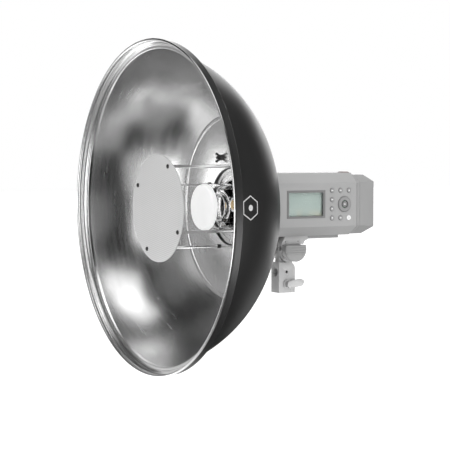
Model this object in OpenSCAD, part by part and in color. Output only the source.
// Battery studio flash head with a reflector dish and a tilting stand bracket.
// Millimetres, +Z up. The dish faces -Y and the control panel faces +X.
// The origin is the centre of the stand socket's mouth, under the bracket.

/* [Layout] */
// Height of the flash axis above the stand socket's mouth
axis_z = 152.5; // [152:0.5:154]
// Distance from the dish's rim plane back to the stand socket's axis
rim_to_stand = 270.5; // [270:0.5:271]
// Height of the tilt axis above the stand socket's mouth
tilt_z = 67; // [66.5:0.5:67]

/* [Dish] */
// Diameter over the rolled rim
rim_d = 560; // [556:1:564]
// Thickness of the spun sheet
sheet = 1.5; // [1:0.1:2]
// Radius of the wall's outer arc
wall_arc_r = 218; // [217:0.5:219]
// Distance of the wall arc's centre from the dish axis
wall_arc_x = 52; // [51:0.5:53]
// Distance of the wall arc's centre in front of the rim plane
wall_arc_front = 31; // [30:0.5:32]
// Depth of the rear face of the flat back, from the rim plane
back_y = 161.5; // [161:0.5:162]
// Radius of the rolled bead at the rim
bead_r = 2.5; // [2:0.1:3]
// Depth of the cylindrical lip behind the rim plane
lip_depth = 17; // [16:0.5:18]
// Radius of the flat back's central opening
throat_r = 66; // [65:0.5:67]

/* [Deflector] */
// Radius of the deflector disc
deflector_r = 90; // [86:1:94]
// Distance of the disc's front face behind the rim plane
deflector_y = 19; // [18:1:30]
// Radius of the circle that the stand-off rods stand on
rod_circle_r = 79; // [77:0.5:80]
// Radius of a stand-off rod
rod_r = 2.5; // [2.3:0.1:3]
// Angle of the first rod, from +X towards +Z
rod_angle = 62; // [58:1:66]

/* [Dish adapter] */
// Radius of the adapter's flange
flange_r = 97; // [96:0.5:100]
// Radius of the circle that the wing-nut studs stand on
stud_circle_r = 89; // [88:0.5:90]
// Angle of the first wing nut, from +X towards +Z
stud_angle = 19; // [15:1:22]
// Angle from a locked bayonet lug to its way out
unlock_angle = 30; // [28:1:32]

/* [Flash tube] */
// Outer radius of the glass jar
glass_r = 39; // [38:0.5:40]
// Distance of the jar's front behind the rim plane
glass_y = 103; // [98:1:108]
// Radius of the ring that the flash tube is bent to
tube_ring_r = 24; // [22:0.5:24]
// Radius of the flash tube's own section
tube_r = 4.6; // [4:0.1:4.8]

/* [Housing] */
// Width of the housing over its side panels
body_w = 118; // [118:1:120]
// Distance of the housing's front face behind the rim plane
body_y0 = 187; // [187:0.5:188]
// Distance of the housing's rear face behind the rim plane
body_y1 = 385; // [384:0.5:386]
// Wall thickness of the mouldings
wall = 2.5; // [2:0.1:2.8]
// Radius of a round panel button
button_r = 4.3; // [4:0.1:4.6]
// Radius of the rotary dial
dial_r = 13.6; // [13:0.1:13.8]

/* [Stand bracket] */
// Width of the lower block
block_w = 25; // [24:0.5:26]
// Radius of the stand sockets, for a 16 mm spigot
socket_r = 8.05; // [8.02:0.01:8.1]
// Depth of the upright stand socket
socket_depth = 26; // [24:1:26]
// Radius of the tilt pin
pin_r = 4; // [3.8:0.1:4.2]

/* [Hidden] */
$fn = 96;
fit = 0.06;            // radial clearance of a running fit
gap = 0.3;             // clearance beside a sliding or turning face
rim_r = rim_d / 2;
wall_in_r = wall_arc_r - sheet;
back_in_y = back_y - sheet;
step_r = 159;          // where the curved wall ends at the flat back's raised edge
step_in_r = 153.5;
ledge_y = sqrt(pow(wall_in_r, 2) - pow(step_r - wall_arc_x, 2)) - wall_arc_front;
shelf_r = wall_arc_x + sqrt(pow(wall_in_r, 2) - pow(lip_depth + wall_arc_front, 2));
lip_r = rim_r - bead_r;
lug_angle = 110;       // the first locked bayonet lug
slider_angle = 180;    // the release slider, on the -X side
slider_ring_r = 57;
leg_angle = 20;        // half of the gap between the flash tube's legs
leg_x = tube_ring_r * sin(leg_angle);
leg_z = -tube_ring_r * cos(leg_angle);
// turn of each wing nut from its radius, so that the upper one stands upright
wing_turn = -stud_angle;
// y of the modelling lamp's front
lamp_y = 165.2;
tube_y = 140;
// y at which the frosted front ends and the clear glass begins
frost_end_y = 112;
base_y = 184;          // front face of the tube base
top_z = 58.3;          // of the housing, from the flash axis
low_z = -52.3;
panel_hi = 40;         // upper and lower edge of the side panels
panel_lo = -35.7;
side_x = body_w / 2;
column_y = [332, 350, 368];
row_z = [27, 11, -5, -21.2];
// Each panel button: name, column, row
BUTTONS = [
    ["lock_button", 0, 0], ["group_button", 1, 0], ["channel_button", 2, 0],
    ["wireless_button", 0, 1], ["test_button", 0, 2], ["lamp_button", 0, 3],
    ["menu_button", 1, 3], ["power_button", 2, 3]
];
dial_y = 358.5;
dial_z = 2.8;
jack_y = 372;
window_y = [242.4, 313.2];   // the visible display
window_z = [-17.2, 23.4];
board_x = 44;
switch_x = 50;               // top of the switches on the control board
cap_r = 17.4;                // one flash capacitor
cap_x = 18.4;
cap_z = [-29, 7.5];
fan_y = 330;
fan_z = -18.3;
fan_half = 30;
battery_y0 = body_y1 + 0.6;
battery_y1 = 427;
battery_top = 54.8;
battery_low = -51;
cell_r = 9.1;
cheek_r = 12.8;              // knuckle of the tilt hinge
tongue_half = 6.2;
cheek_x = [6.5, 13];
umbrella_x = 19.5;
umbrella_z = -73.5;
umbrella_r = 4.75;
boss_r = 6.5;
rail_low = -59;
plate_low = -67;
grip_x = [27, 39];
grip_r = 21.5;
grip_lift = 10.5;            // centre of the grip's round outline above the tilt axis
lever_z = 15;

// ---- helpers. Inside head() y counts back from the rim plane and z up from the flash axis.
module head() translate([0, -rim_to_stand, axis_z]) children();
module rod_x(y, z, x0, x1, r) translate([x0, y, z]) rotate([0, 90, 0]) cylinder(r = r, h = x1 - x0);
module rod_y(x, z, y0, y1, r) translate([x, y0, z]) rotate([-90, 0, 0]) cylinder(r = r, h = y1 - y0);
module rod_z(x, y, z0, z1, r) translate([x, y, z0]) cylinder(r = r, h = z1 - z0);
module block(x, y, z) translate([x[0], y[0], z[0]]) cube([x[1] - x[0], y[1] - y[0], z[1] - z[0]]);
// A profile of (radius, y), turned about the flash axis
module turned() rotate([-90, 0, 0]) rotate_extrude() children();
// A rectangular ring section, swept from angle a0 to a1, counted from +X towards +Z
module sector(r, y, a0, a1) {
    rotate([-90, 0, 0]) rotate([0, 0, -a1]) rotate_extrude(angle = a1 - a0)
        translate([r[0], y[0]]) square([r[1] - r[0], y[1] - y[0]]);
}
// Copies on a circle about the flash axis; each copy's own X points outwards
module polar(n, r, a0) {
    for (i = [0 : n - 1])
        rotate([0, -(a0 + i * 360 / n), 0]) translate([r, 0, 0]) children();
}
// An outline of (y, z), extruded across x
module across(x) translate([x[0], 0, 0]) rotate([90, 0, 90]) linear_extrude(x[1] - x[0]) children();
// An outline of (x, z), extruded along y
module along(y) translate([0, y[1], 0]) rotate([90, 0, 0]) linear_extrude(y[1] - y[0]) children();

// ---- the dish
module bowl_profile() {
    // rolled bead, cylindrical lip and the shelf behind it
    translate([lip_r, bead_r]) circle(bead_r);
    translate([lip_r - sheet, bead_r]) square([sheet, lip_depth - bead_r]);
    translate([shelf_r, lip_depth - sheet]) square([lip_r - shelf_r, sheet]);
    // curved wall
    intersection() {
        translate([wall_arc_x, -wall_arc_front]) difference() {
            circle(wall_arc_r, $fn = 360);
            circle(wall_in_r, $fn = 360);
        }
        translate([step_r, lip_depth - sheet]) square([rim_r, back_y]);
    }
    // raised edge and the flat back
    translate([step_in_r, ledge_y]) square([step_r + 0.3 - step_in_r, sheet]);
    translate([step_in_r, ledge_y]) square([sheet, back_y - ledge_y]);
    translate([throat_r, back_in_y]) square([step_in_r + sheet - throat_r, sheet]);
}
module dish_bowl() color("silver") head() difference() {
    turned() bowl_profile();
    polar(4, rod_circle_r, rod_angle) rod_y(0, 0, back_in_y - 1, back_y + 1, 2.1);
    polar(4, stud_circle_r, stud_angle) rod_y(0, 0, back_in_y - 1, back_y + 1, 2.6);
}
module dish_adapter() color("gray") head() difference() {
    union() {
        turned() polygon([
            [flange_r, back_y], [flange_r, 165.5], [throat_r, 165.5], [throat_r, 170],
            [48.5, 170], [48.5, 186], [45.6, 186], [45.6, 167], [60, 167], [60, 164],
            [throat_r, 164], [throat_r, back_y]
        ]);
        for (i = [0 : 2]) let (a = lug_angle + 120 * i) sector([47, 53], [182.2, 186], a - 12, a + 12);
    }
    polar(4, rod_circle_r, rod_angle) rod_y(0, 0, back_y - 1, 166, 5);
    polar(4, stud_circle_r, stud_angle) rod_y(0, 0, back_y - 1, 166, 2.6);
    // curved slot that the release pin stands in
    sector([slider_ring_r - 2.2, slider_ring_r + 2.2], [167.8, 170.5],
        slider_angle - 3, slider_angle + unlock_angle + 3);
}
module adapter_studs() color("dimgray") head() polar(4, stud_circle_r, stud_angle) {
    rod_y(0, 0, 165.5, 168, 5.5);
    rod_y(0, 0, 150, 166, 2.5);
}
module wing_outline() {
    polygon([[2.5, 6], [2.5, 1], [4.8, -3], [7.4, -3], [8.4, -1], [4.6, 5.4]]);
    translate([6.9, -2]) circle(1.8, $fn = 48);
}
module wing_nuts() color("dimgray") head() polar(4, stud_circle_r, stud_angle) translate([0, 152, 0])
    rotate([0, -wing_turn, 0]) difference() {
        union() {
            rod_y(0, 0, 2, 8, 4.1);
            rod_y(0, 0, 7, 8, 5.2);
            for (s = [0, 180]) rotate([0, s, 0]) translate([0, 0, -0.9]) linear_extrude(1.8) wing_outline();
        }
        rod_y(0, 0, -8, 9, 2.6);
    }
module deflector_disc() color("gainsboro") head() difference() {
    rod_y(0, 0, deflector_y, deflector_y + 1.5, deflector_r);
    polar(4, rod_circle_r, rod_angle) rod_y(0, 0, deflector_y - 1, deflector_y + 3, 2.1);
}
module deflector_rods() color("silver") head() polar(4, rod_circle_r, rod_angle) difference() {
    union() {
        rod_y(0, 0, deflector_y + 1.5, back_in_y - 3, rod_r);
        rod_y(0, 0, back_in_y - 4, back_y + 4.5, 2);
    }
    rod_y(0, 0, deflector_y, deflector_y + 13, 1.55);
}
module rod_screws() color("black") head() polar(4, rod_circle_r, rod_angle) difference() {
    union() {
        rod_y(0, 0, deflector_y - 2, deflector_y, 3.6);
        rod_y(0, 0, deflector_y - 1, deflector_y + 11, 1.5);
    }
    for (s = [0, 90]) rotate([0, s + 20, 0])
        block([-2.4, 2.4], [deflector_y - 3, deflector_y - 0.9], [-0.4, 0.4]);
}
module hex_nut(y, r, bore) difference() {
    translate([0, y, 0]) rotate([-90, 0, 0]) cylinder(r = r, h = 3, $fn = 6);
    rod_y(0, 0, y - 1, y + 4, bore);
}
module rod_nuts() color("dimgray") head() polar(4, rod_circle_r, rod_angle) {
    hex_nut(back_in_y - 3, 4, 2.05);
    hex_nut(back_y, 4, 2.05);
}

// ---- the flash's front mount
module front_mount_ring() color("dimgray") head() difference() {
    turned() polygon([[61, 171], [61, body_y0], [54, body_y0], [54, 181.5], [49.2, 181.5], [49.2, 171]]);
    for (i = [0 : 2]) let (a = lug_angle - unlock_angle + 120 * i)
        sector([48, 53.5], [170, 184], a - 13.5, a + 13.5);
    block([-62, -54.6], [176, body_y0 + 1], [-5, 5]);
    rod_y(-slider_ring_r, 0, 170, 177, 1.6);
}
module release_slider() color("black") head() difference() {
    block([-65, -55.2], [177, 181], [-4.6, 4.6]);
    rod_y(-slider_ring_r, 0, 176, 179, 1.5);
}
module release_pin() color("silver") head() rod_y(-slider_ring_r, 0, 168.5, 179, 1.5);

// ---- the flash tube, its glass and the modelling lamp
module frosted_cap() color("white") head() turned() {
    translate([0, glass_y]) square([glass_r - 7, 2.5]);
    intersection() {
        translate([glass_r - 7, glass_y + 7]) difference() {
            circle(7);
            circle(4.5);
        }
        translate([glass_r - 7, glass_y]) square([7, 7]);
    }
    translate([glass_r - 2.5, glass_y + 7]) square([2.5, frost_end_y - glass_y - 7]);
}
module glass_sleeve() color("lightblue") head() turned()
    translate([glass_r - 2.5, frost_end_y]) square([2.5, base_y - frost_end_y]);
module tube_base() color("ivory") head() difference() {
    rod_y(0, 0, base_y, 195, 43.8);
    for (s = [-1, 1]) rod_y(s * leg_x, leg_z, base_y - 1, 189, 5.6);
}
module flash_tube() color("white") head() {
    translate([0, tube_y, 0]) rotate([-90, 0, 0]) rotate([0, 0, 90 + leg_angle])
        rotate_extrude(angle = 360 - 2 * leg_angle) translate([tube_ring_r, 0]) circle(tube_r, $fn = 48);
    for (s = [-1, 1]) {
        rod_y(s * leg_x, leg_z, tube_y - tube_r - 0.6, tube_y + tube_r + 0.6, tube_r + 0.6);
        rod_y(s * leg_x, leg_z, tube_y, 176, tube_r);
    }
}
module tube_electrodes() color("silver") head()
    for (s = [-1, 1]) rod_y(s * leg_x, leg_z, 176, 188.5, 5.4);
module trigger_wire() color("silver") head() {
    translate([0, tube_y - tube_r - 0.8, 0]) rotate([-90, 0, 0]) rotate([0, 0, 130])
        rotate_extrude(angle = 280) translate([tube_ring_r, 0]) circle(0.7, $fn = 24);
    rod_z(0, tube_y - tube_r - 0.8, tube_ring_r, tube_ring_r + 6.2, 0.5);
    rod_y(0, tube_ring_r + 6.2, tube_y - tube_r - 1.4, base_y, 0.8);
}
module tube_clips() color("silver") head() polar(3, tube_ring_r + 9, 30) {
    rod_y(0, 0, tube_y + 1, base_y, 1.2);
    rod_x(tube_y + 2, 0, -4.3, 0.5, 0.9);
}
module inner_reflector() color("silver") head() difference() {
    rod_y(0, 0, base_y - 1.2, base_y, glass_r - 3);
    for (s = [-1, 1]) rod_y(s * leg_x, leg_z, base_y - 3, base_y + 1, 6);
    polar(3, tube_ring_r + 9, 30) rod_y(0, 0, base_y - 3, base_y + 1, 1.7);
    rod_y(0, tube_ring_r + 6.2, base_y - 3, base_y + 1, 1.2);
    rod_y(0, 3, base_y - 3, base_y + 1, 11);
}
module lamp_board() color("silver") head() {
    rod_y(0, 3, lamp_y + 0.8, lamp_y + 2.8, 12);
    rod_y(0, 3, lamp_y + 2.8, base_y, 8);
}
module lamp_chip() color("orange") head() rod_y(0, 3, lamp_y, lamp_y + 0.8, 8.5);
module lamp_dome() color("white") head() translate([0, lamp_y, 3]) difference() {
    sphere(9.8, $fn = 64);
    sphere(8.6, $fn = 64);
    block([-11, 11], [0, 11], [-11, 11]);
}

// ---- the housing
// Half of the housing's cross-section, x from x0 outwards, inset by t
function half_section(x0, t, top, low) = [
    [x0, low + t], [36 - 0.4 * t, low + t], [side_x - t, panel_lo + 0.35 * t],
    [side_x - t, panel_hi - 0.4 * t], [41 - 0.4 * t, top - 0.9 - t], [x0, top - t]
];
module housing_half() difference() {
    along([body_y0, body_y1]) polygon(half_section(0, 0, top_z, low_z));
    along([body_y0 + 3, body_y1 - 3]) polygon(half_section(-1, wall, top_z, low_z));
    rod_y(0, 0, body_y0 - 1, body_y0 + 4, 44);
}
module housing_right() color("darkgray") head() difference() {
    housing_half();
    block([50, 60], [238, 318], [-20.6, 27.6]);
    for (b = BUTTONS) rod_x(column_y[b[1]], row_z[b[2]], 50, 60, button_r + gap);
    rod_x(dial_y, dial_z, 50, 60, dial_r + gap);
    block([20, 38], [366, 386], [50, 60]);
}
module housing_left() color("darkgray") head() difference() {
    union() {
        mirror([1, 0, 0]) housing_half();
        for (z = [[-6.5, -4.3], [20.3, 22.5]]) block([-62.2, -58.5], [327.6, 330.4], z);
    }
    for (i = [0 : 7]) block([-60, -50], [232, 292], [-26 + 7 * i, -23 + 7 * i]);
    block([-60, -50], [341, 351], [6.3, 9.7]);
    rod_x(jack_y, 8, -60, -50, 4.6);
}
module display_bezel() color("dimgray") head() difference() {
    block([54.5, 59.4], [238.1, 317.9], [-20.5, 27.5]);
    block([50, 60], window_y, window_z);
    block([50, 56.2], [240, 315.8], [-19, 25.8]);
}
module display_window() color("lightblue") head() block([55, 56.2], [240.1, 315.7], [-18.9, 25.7]);
module display_module() color("darkseagreen") head() block([47, 54.4], [240.5, 315.3], [-18.4, 25.2]);
module panel_button(b) color(b[0] == "power_button" ? "white" : "gray") head()
    translate([0, column_y[b[1]], row_z[b[2]]]) {
        rod_x(0, 0, switch_x + 1.2, side_x + 0.6, button_r);
        rod_x(0, 0, side_x, side_x + 1, button_r - 0.8);
    }
module dial() color("dimgray") head() difference() {
    union() {
        rod_x(dial_y, dial_z, 52, side_x + 1.2, dial_r);
        rod_x(dial_y, dial_z, side_x, side_x + 2, dial_r - 1.2);
    }
    rod_x(dial_y, dial_z, 51, side_x + 3, 6.5 + fit);
}
module set_button() color("gray") head() {
    rod_x(dial_y, dial_z, 50, side_x + 1.8, 5.1);
}
module control_board() color("green") head() {
    block([board_x, board_x + 1.6], [225, 376], [-34, 38]);
    for (b = BUTTONS) let (y = column_y[b[1]], z = row_z[b[2]])
        block([board_x + 1, switch_x], [y - 3, y + 3], [z - 3, z + 3]);
    // rotary encoder's bush, with the set button's switch inside it
    difference() {
        rod_x(dial_y, dial_z, board_x + 1, side_x - 1.5, 6.5);
        rod_x(dial_y, dial_z, board_x + 2, side_x, 5.1 + fit);
    }
    block([board_x + 1, switch_x - 1.6], [dial_y - 3, dial_y + 3], [dial_z - 3, dial_z + 3]);
}

// ---- inside the housing
module chassis_plate() color("lightgray") head()
    block([-30, 30], [192, 378], [low_z + wall, low_z + wall + 1.5]);
module capacitor_bank() color("navy") head()
    for (s = [-1, 1], z = cap_z) rod_y(s * cap_x, z, 212, 304, cap_r);
module capacitor_cradle() color("black") head() difference() {
    for (y = [228, 280]) block([-37, 37], [y, y + 8], [low_z + wall + 1.5, 29]);
    for (s = [-1, 1], z = cap_z) rod_y(s * cap_x, z, 210, 306, cap_r + 0.15);
}
module power_board() color("green") head() {
    block([-36, 36], [208, 318], [29, 30.6]);
    block([-30, -12], [215, 255], [30.5, 46]);
    rod_z(8, 240, 30.5, 44, 13);
    block([-28, 28], [275, 312], [30.5, 42]);
}
module fan_frame() color("black") head() difference() {
    block([-fan_half, fan_half], [fan_y, fan_y + 15], [fan_z - fan_half, fan_z + fan_half]);
    rod_y(0, fan_z, fan_y - 1, fan_y + 12, fan_half - 1.5);
    difference() {
        rod_y(0, fan_z, fan_y + 11, fan_y + 16, fan_half - 1.5);
        rod_y(0, fan_z, fan_y + 12.5, fan_y + 17, 9);
        for (a = [0, 90]) translate([0, 0, fan_z]) rotate([0, a + 45, 0])
            block([-fan_half, fan_half], [fan_y + 12.5, fan_y + 15], [-2, 2]);
    }
    rod_y(0, fan_z, fan_y + 11, fan_y + 16, 1.5 + fit);
}
module fan_rotor() color("dimgray") head() translate([0, 0, fan_z]) {
    rod_y(0, 0, fan_y + 1, fan_y + 12, 9);
    rod_y(0, 0, fan_y + 11, fan_y + 15, 1.5);
    for (i = [0 : 6]) rotate([0, i * 360 / 7, 0]) translate([0, fan_y + 6.5, 0])
        rotate([38, 0, 0]) block([8, fan_half - 2.5], [-5.5, 5.5], [-0.6, 0.6]);
}
module sync_jack() color("silver") head() difference() {
    rod_x(jack_y, 8, -59.2, -42, 4.6);
    rod_x(jack_y, 8, -60, -45, 1.8);
}
module port_flap() color("black") head() {
    block([-61.6, -59.6], [330, 362], [-4, 20]);
    rod_z(-60.8, 329, -4, 20, 1.2);
}

// ---- the battery
module battery_rail() color("dimgray") head() {
    block([-8, 8], [body_y1, 388.8], [-46, 30]);
    block([-12, 12], [388.8, 391.2], [-46, 30]);
}
function mirrored(points) = [for (i = [len(points) - 1 : -1 : 0]) [-points[i][0], points[i][1]]];
module battery_section(t) {
    half = half_section(0, t, battery_top, battery_low);
    polygon(concat(half, mirrored(half)));
}
module battery_plate() color("gray") head() difference() {
    along([battery_y0, 391.6]) battery_section(0);
    block([-8.4, 8.4], [battery_y0 - 1, 389], [battery_low - 1, 30.4]);
    block([-12.4, 12.4], [388.4, 392], [battery_low - 1, 30.4]);
}
// The rear shell tapers: its sides first, then its top and bottom
module battery_body(t) hull() {
    along([391.6, 402]) battery_section(t);
    along([411, 412]) intersection() {
        battery_section(t);
        square([2 * (side_x - 2.2 - t), 200], center = true);
    }
    along([battery_y1 - t - 0.5, battery_y1 - t]) intersection() {
        battery_section(t);
        translate([0, 1.9]) square([2 * (side_x - 6 - t), 79.8 - 2 * t], center = true);
    }
}
module battery_case() color("gray") head() difference() {
    battery_body(0);
    battery_body(2.5);
    along([391, 392.2]) battery_section(2.5);
}
module battery_cells() color("steelblue") head()
    for (i = [-2 : 2]) rod_z(19 * i, 403.4, -35, 30, cell_r);
module battery_latch() color("firebrick") head() {
    block([20.4, 37.6], [370.4, 384.6], [54.6, 58.6]);
    block([22, 36], [372, 383], [58.6, 59.6]);
    block([26, 32], [360, 384], [52.8, 54.6]);
}

// ---- the tilting bracket under the housing
module mount_rail() color("dimgray") head() along([245, 379])
    polygon([[-12, low_z], [12, low_z], [12, rail_low + 1], [11, rail_low], [-11, rail_low], [-12, rail_low + 1]]);
module hinge_base() color("darkgray") head() difference() {
    union() {
        across([-25, 25]) polygon([
            [249.5, plate_low], [250.5, -63], [257, low_z - 0.6], [304, low_z - 0.6],
            [304, -59.4], [300, -60.4], [297, -62.8], [295.4, plate_low]
        ]);
        for (s = [0, 1]) mirror([s, 0, 0]) across(cheek_x) {
            translate([rim_to_stand, tilt_z - axis_z]) circle(cheek_r);
            polygon([
                [rim_to_stand - cheek_r, tilt_z - axis_z], [rim_to_stand - 15.5, plate_low + 1],
                [rim_to_stand + 15.5, plate_low + 1], [rim_to_stand + cheek_r, tilt_z - axis_z]
            ]);
        }
        rod_y(umbrella_x, umbrella_z, 249.5, 289.5, boss_r);
        block([umbrella_x - 5, umbrella_x + 5], [249.5, 289.5], [umbrella_z + 1, plate_low + 1]);
        rod_z(umbrella_x, 282.5, -82, umbrella_z, 5);
    }
    block([-12.2, 12.2], [240, 310], [rail_low - 0.2, low_z + 1]);
    rod_x(rim_to_stand, tilt_z - axis_z, -14, 14, pin_r + fit);
    rod_y(umbrella_x, umbrella_z, 249, 290, umbrella_r);
    rod_z(umbrella_x, 282.5, -83, umbrella_z, 2.5 + fit);
    for (y = [257, 283.5]) {
        rod_x(y, -62, -26, 26, 2);
        rod_x(y, -62, 21.8, 26, 3.6);
    }
}
module base_bolts() color("silver") head() for (y = [257, 283.5]) difference() {
    union() {
        rod_x(y, -62, 22, 24.8, 3.5);
        rod_x(y, -62, -24.8, 22, 1.95);
    }
    translate([23.2, y, -62]) rotate([0, 90, 0]) cylinder(r = 1.9, h = 3, $fn = 6);
}
module tilt_pin() color("silver") translate([0, 0, tilt_z]) {
    translate([-19, 0, 0]) rotate([0, 90, 0]) cylinder(r = 7.3, h = 6, $fn = 6);
    rod_x(0, 0, -14, 37, pin_r);
}
module tilt_spacer() color("gray") translate([0, 0, tilt_z]) difference() {
    rod_x(0, 0, 13, 26.7, 5.3);
    rod_x(0, 0, 12, 28, pin_r + fit);
}
module grip_outline(r) intersection() {
    translate([0, grip_lift]) circle(r);
    translate([-30, -30]) square([60, 30 + 17.4]);
}
module tilt_grip() color("dimgray") translate([0, 0, tilt_z]) difference() {
    union() {
        across(grip_x) grip_outline(grip_r);
        intersection() {
            across([38, 40.4]) grip_outline(grip_r - 1.2);
            for (i = [0 : 3]) block([38, 41], [-30, 30], [14.6 - 4.2 * i, 16.4 - 4.2 * i]);
        }
    }
    rod_x(0, 0, 26, 37.5, pin_r + fit);
}
module umbrella_screw() color("silver") head() {
    rod_z(umbrella_x, 282.5, -84, -79.5, 2.5);
    rod_z(umbrella_x, 282.5, -88, -82.6, 4.2);
}
module stand_bracket() color("silver") difference() {
    union() {
        // block with a rounded upper rear corner
        across([-block_w / 2, block_w / 2]) {
            translate([-18, 0]) square([33.5, 41.5]);
            translate([-18, 0]) square([21.5, 53.5]);
            translate([3.5, 41.5]) circle(12);
        }
        across([-tongue_half, tongue_half]) {
            translate([0, tilt_z]) circle(cheek_r - 0.3);
            polygon([[-14.5, 53], [14, 50], [cheek_r - 0.3, tilt_z], [0.3 - cheek_r, tilt_z]]);
        }
        rod_x(0, lever_z, block_w / 2 - 1, block_w / 2 + 2, 9);
    }
    rod_z(0, 0, -1, socket_depth, socket_r);
    // pilot hole, drilled on past the cross socket
    rod_z(0, 0, 0, 46, 3);
    rod_y(0, 36, -19, 10, socket_r);
    rod_x(0, tilt_z, -8, 8, pin_r + fit);
    rod_x(0, lever_z, 5, block_w / 2 + 3, 3 + fit);
    rod_x(-2, 36.5, 5, block_w / 2 + 1, 2.7);
}
module stand_lock_lever() color("dimgray") translate([0, 0, lever_z]) {
    rod_x(0, 0, 8.3, 20, 3);
    rod_x(0, 0, block_w / 2 + 2.4, 18, 5.5);
    rotate([8, 0, 0]) hull() {
        rod_x(0.5, 0, 17, 22, 6.2, $fn = 32);
        rod_x(20.5, 0, 18, 22.5, 6.6, $fn = 32);
        rod_x(25, 0, 18.5, 22, 4, $fn = 32);
    }
}

dish_bowl();
dish_adapter();
adapter_studs();
wing_nuts();
deflector_disc();
deflector_rods();
rod_screws();
rod_nuts();
front_mount_ring();
release_slider();
release_pin();
frosted_cap();
glass_sleeve();
tube_base();
flash_tube();
tube_electrodes();
trigger_wire();
tube_clips();
inner_reflector();
lamp_board();
lamp_chip();
lamp_dome();
housing_right();
housing_left();
display_bezel();
display_window();
display_module();
for (b = BUTTONS) panel_button(b);
dial();
set_button();
control_board();
chassis_plate();
capacitor_bank();
capacitor_cradle();
power_board();
fan_frame();
fan_rotor();
sync_jack();
port_flap();
battery_rail();
battery_plate();
battery_case();
battery_cells();
battery_latch();
mount_rail();
hinge_base();
base_bolts();
tilt_pin();
tilt_spacer();
tilt_grip();
umbrella_screw();
stand_bracket();
stand_lock_lever();
